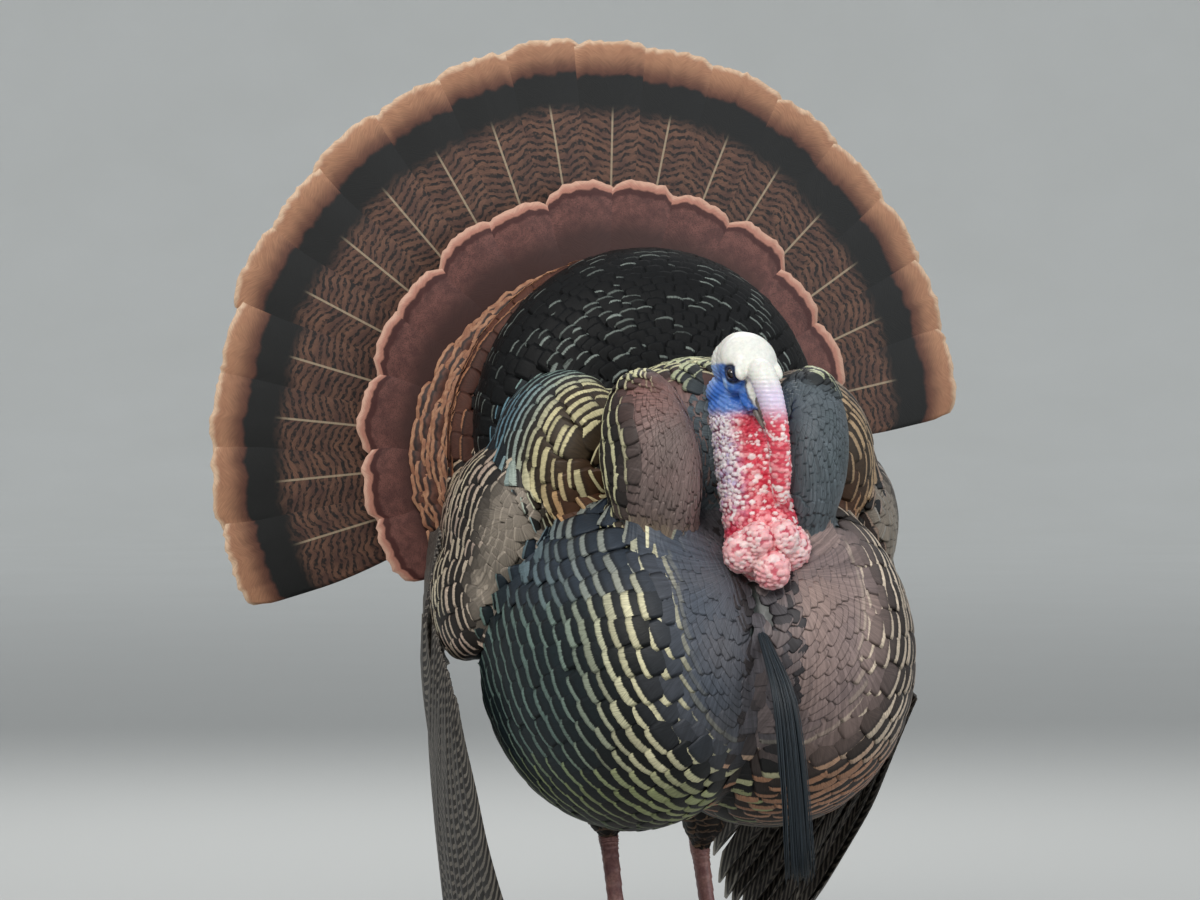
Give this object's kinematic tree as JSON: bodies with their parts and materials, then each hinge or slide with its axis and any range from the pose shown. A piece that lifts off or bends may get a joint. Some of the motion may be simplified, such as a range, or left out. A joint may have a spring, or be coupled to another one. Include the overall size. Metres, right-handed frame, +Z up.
{
  "type": "wild turkey",
  "caption": "Life-size still model of a wild turkey tom strutting: tail fanned, wings drooped, breast puffed, head drawn back, beard hanging.",
  "frame": {"origin": "On the floor, under the middle of the whole bird's bounding box.", "axes": "+Z is up. The bird's body looks along -Y, so its left side is +X and the open tail fan stands across +Y behind it."},
  "size_m": [0.801, 0.6058, 0.9808],
  "materials": {
    "bronze_plumage": "glossy bronze and green feathers with cream edges",
    "black_plumage": "satin black feathers",
    "rust_plumage": "satin maroon feathers with pale tips",
    "tail_feather": "matte barred brown feathers with a black band and buff tips",
    "wing_feather": "matte grey feathers with white bars",
    "bare_skin": "satin white and blue skin",
    "red_skin": "moist warty red skin",
    "leg_scale": "satin pink-grey scales",
    "horn": "smooth horn",
    "eye": "wet gloss",
    "beard_bristle": "coarse dark bristles"
  },
  "bodies": {
    "root": {"beard": "beard_bristle", "bill_lower": "horn", "bill_upper": "horn", "caruncles": "red_skin", "claw_hind_left": "horn", "claw_hind_right": "horn", "claw_inner_left": "horn", "claw_inner_right": "horn", "claw_middle_left": "horn", "claw_middle_right": "horn", "claw_outer_left": "horn", "claw_outer_right": "horn", "eye_left": "eye", "eye_right": "eye", "foot_left": "leg_scale", "foot_right": "leg_scale", "head": "bare_skin", "mantle": "black_plumage", "neck_collar": "bronze_plumage", "rump": "rust_plumage", "shank_left": "leg_scale", "shank_right": "leg_scale", "snood": "red_skin", "spur_left": "horn", "spur_right": "horn", "tail_coverts": "rust_plumage", "tail_fan": "tail_feather", "thigh_left": "black_plumage", "thigh_right": "black_plumage", "throat": "red_skin", "trunk": "bronze_plumage", "undertail": "black_plumage", "wing_coverts_left": "bronze_plumage", "wing_coverts_right": "bronze_plumage", "wing_primaries_left": "wing_feather", "wing_primaries_right": "wing_feather", "wing_secondaries_left": "wing_feather", "wing_secondaries_right": "wing_feather"}
  },
  "joints": []
}
